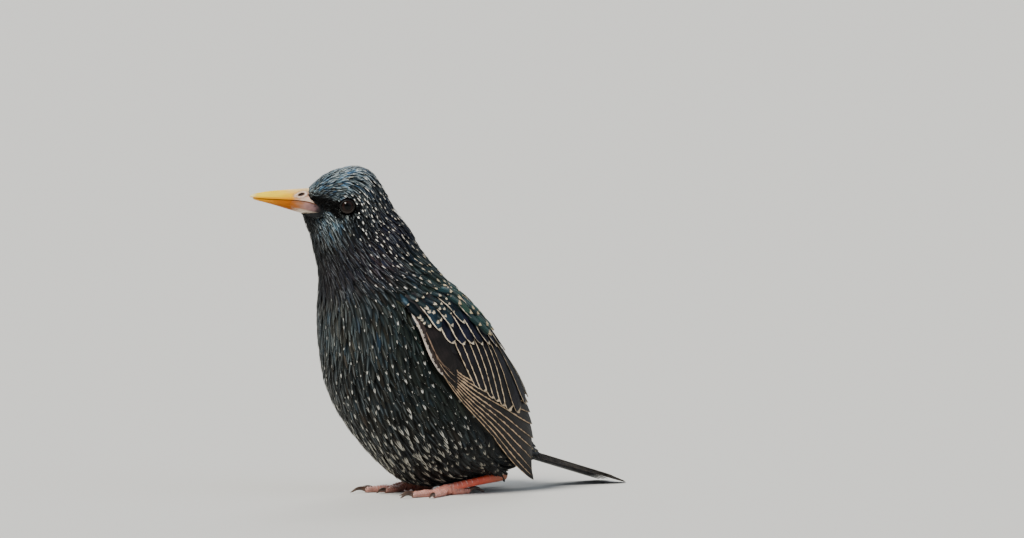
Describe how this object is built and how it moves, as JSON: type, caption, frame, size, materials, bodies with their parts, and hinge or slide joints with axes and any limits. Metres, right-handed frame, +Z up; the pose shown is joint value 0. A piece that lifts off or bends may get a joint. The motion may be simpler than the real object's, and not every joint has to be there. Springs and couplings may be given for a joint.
{
  "type": "starling figure",
  "caption": "Life-size still model of a spotted starling standing low on both feet, wings folded, tail laid on the floor, head turned to its right.",
  "frame": {"origin": "on the floor, under the middle of the part's bounding box", "axes": "+Z up, the bird's body faces -X and its tail points to +X, and its left side is towards -Y"},
  "size_m": [0.1746, 0.0686, 0.1384],
  "materials": {
    "body_feathers": "glossy black-green feathers with small pale spots",
    "flight_feathers": "satin dark brown feathers with buff edges",
    "bill_horn": "smooth yellow horn, pinkish at the base",
    "eye": "wet dark brown",
    "leg_skin": "scaly coral-red skin",
    "claw_horn": "smooth brown horn"
  },
  "bodies": {
    "root": {"head": "body_feathers", "neck": "body_feathers", "torso": "body_feathers", "thigh_left": "body_feathers", "thigh_right": "body_feathers", "wing_left": "flight_feathers", "wing_right": "flight_feathers", "tail": "flight_feathers", "bill_upper": "bill_horn", "bill_lower": "bill_horn", "eye_left": "eye", "eye_right": "eye", "shank_left": "leg_skin", "shank_right": "leg_skin", "foot_left": "leg_skin", "foot_right": "leg_skin", "claw_inner_left": "claw_horn", "claw_middle_left": "claw_horn", "claw_outer_left": "claw_horn", "claw_hind_left": "claw_horn", "claw_inner_right": "claw_horn", "claw_middle_right": "claw_horn", "claw_outer_right": "claw_horn", "claw_hind_right": "claw_horn"}
  },
  "joints": []
}
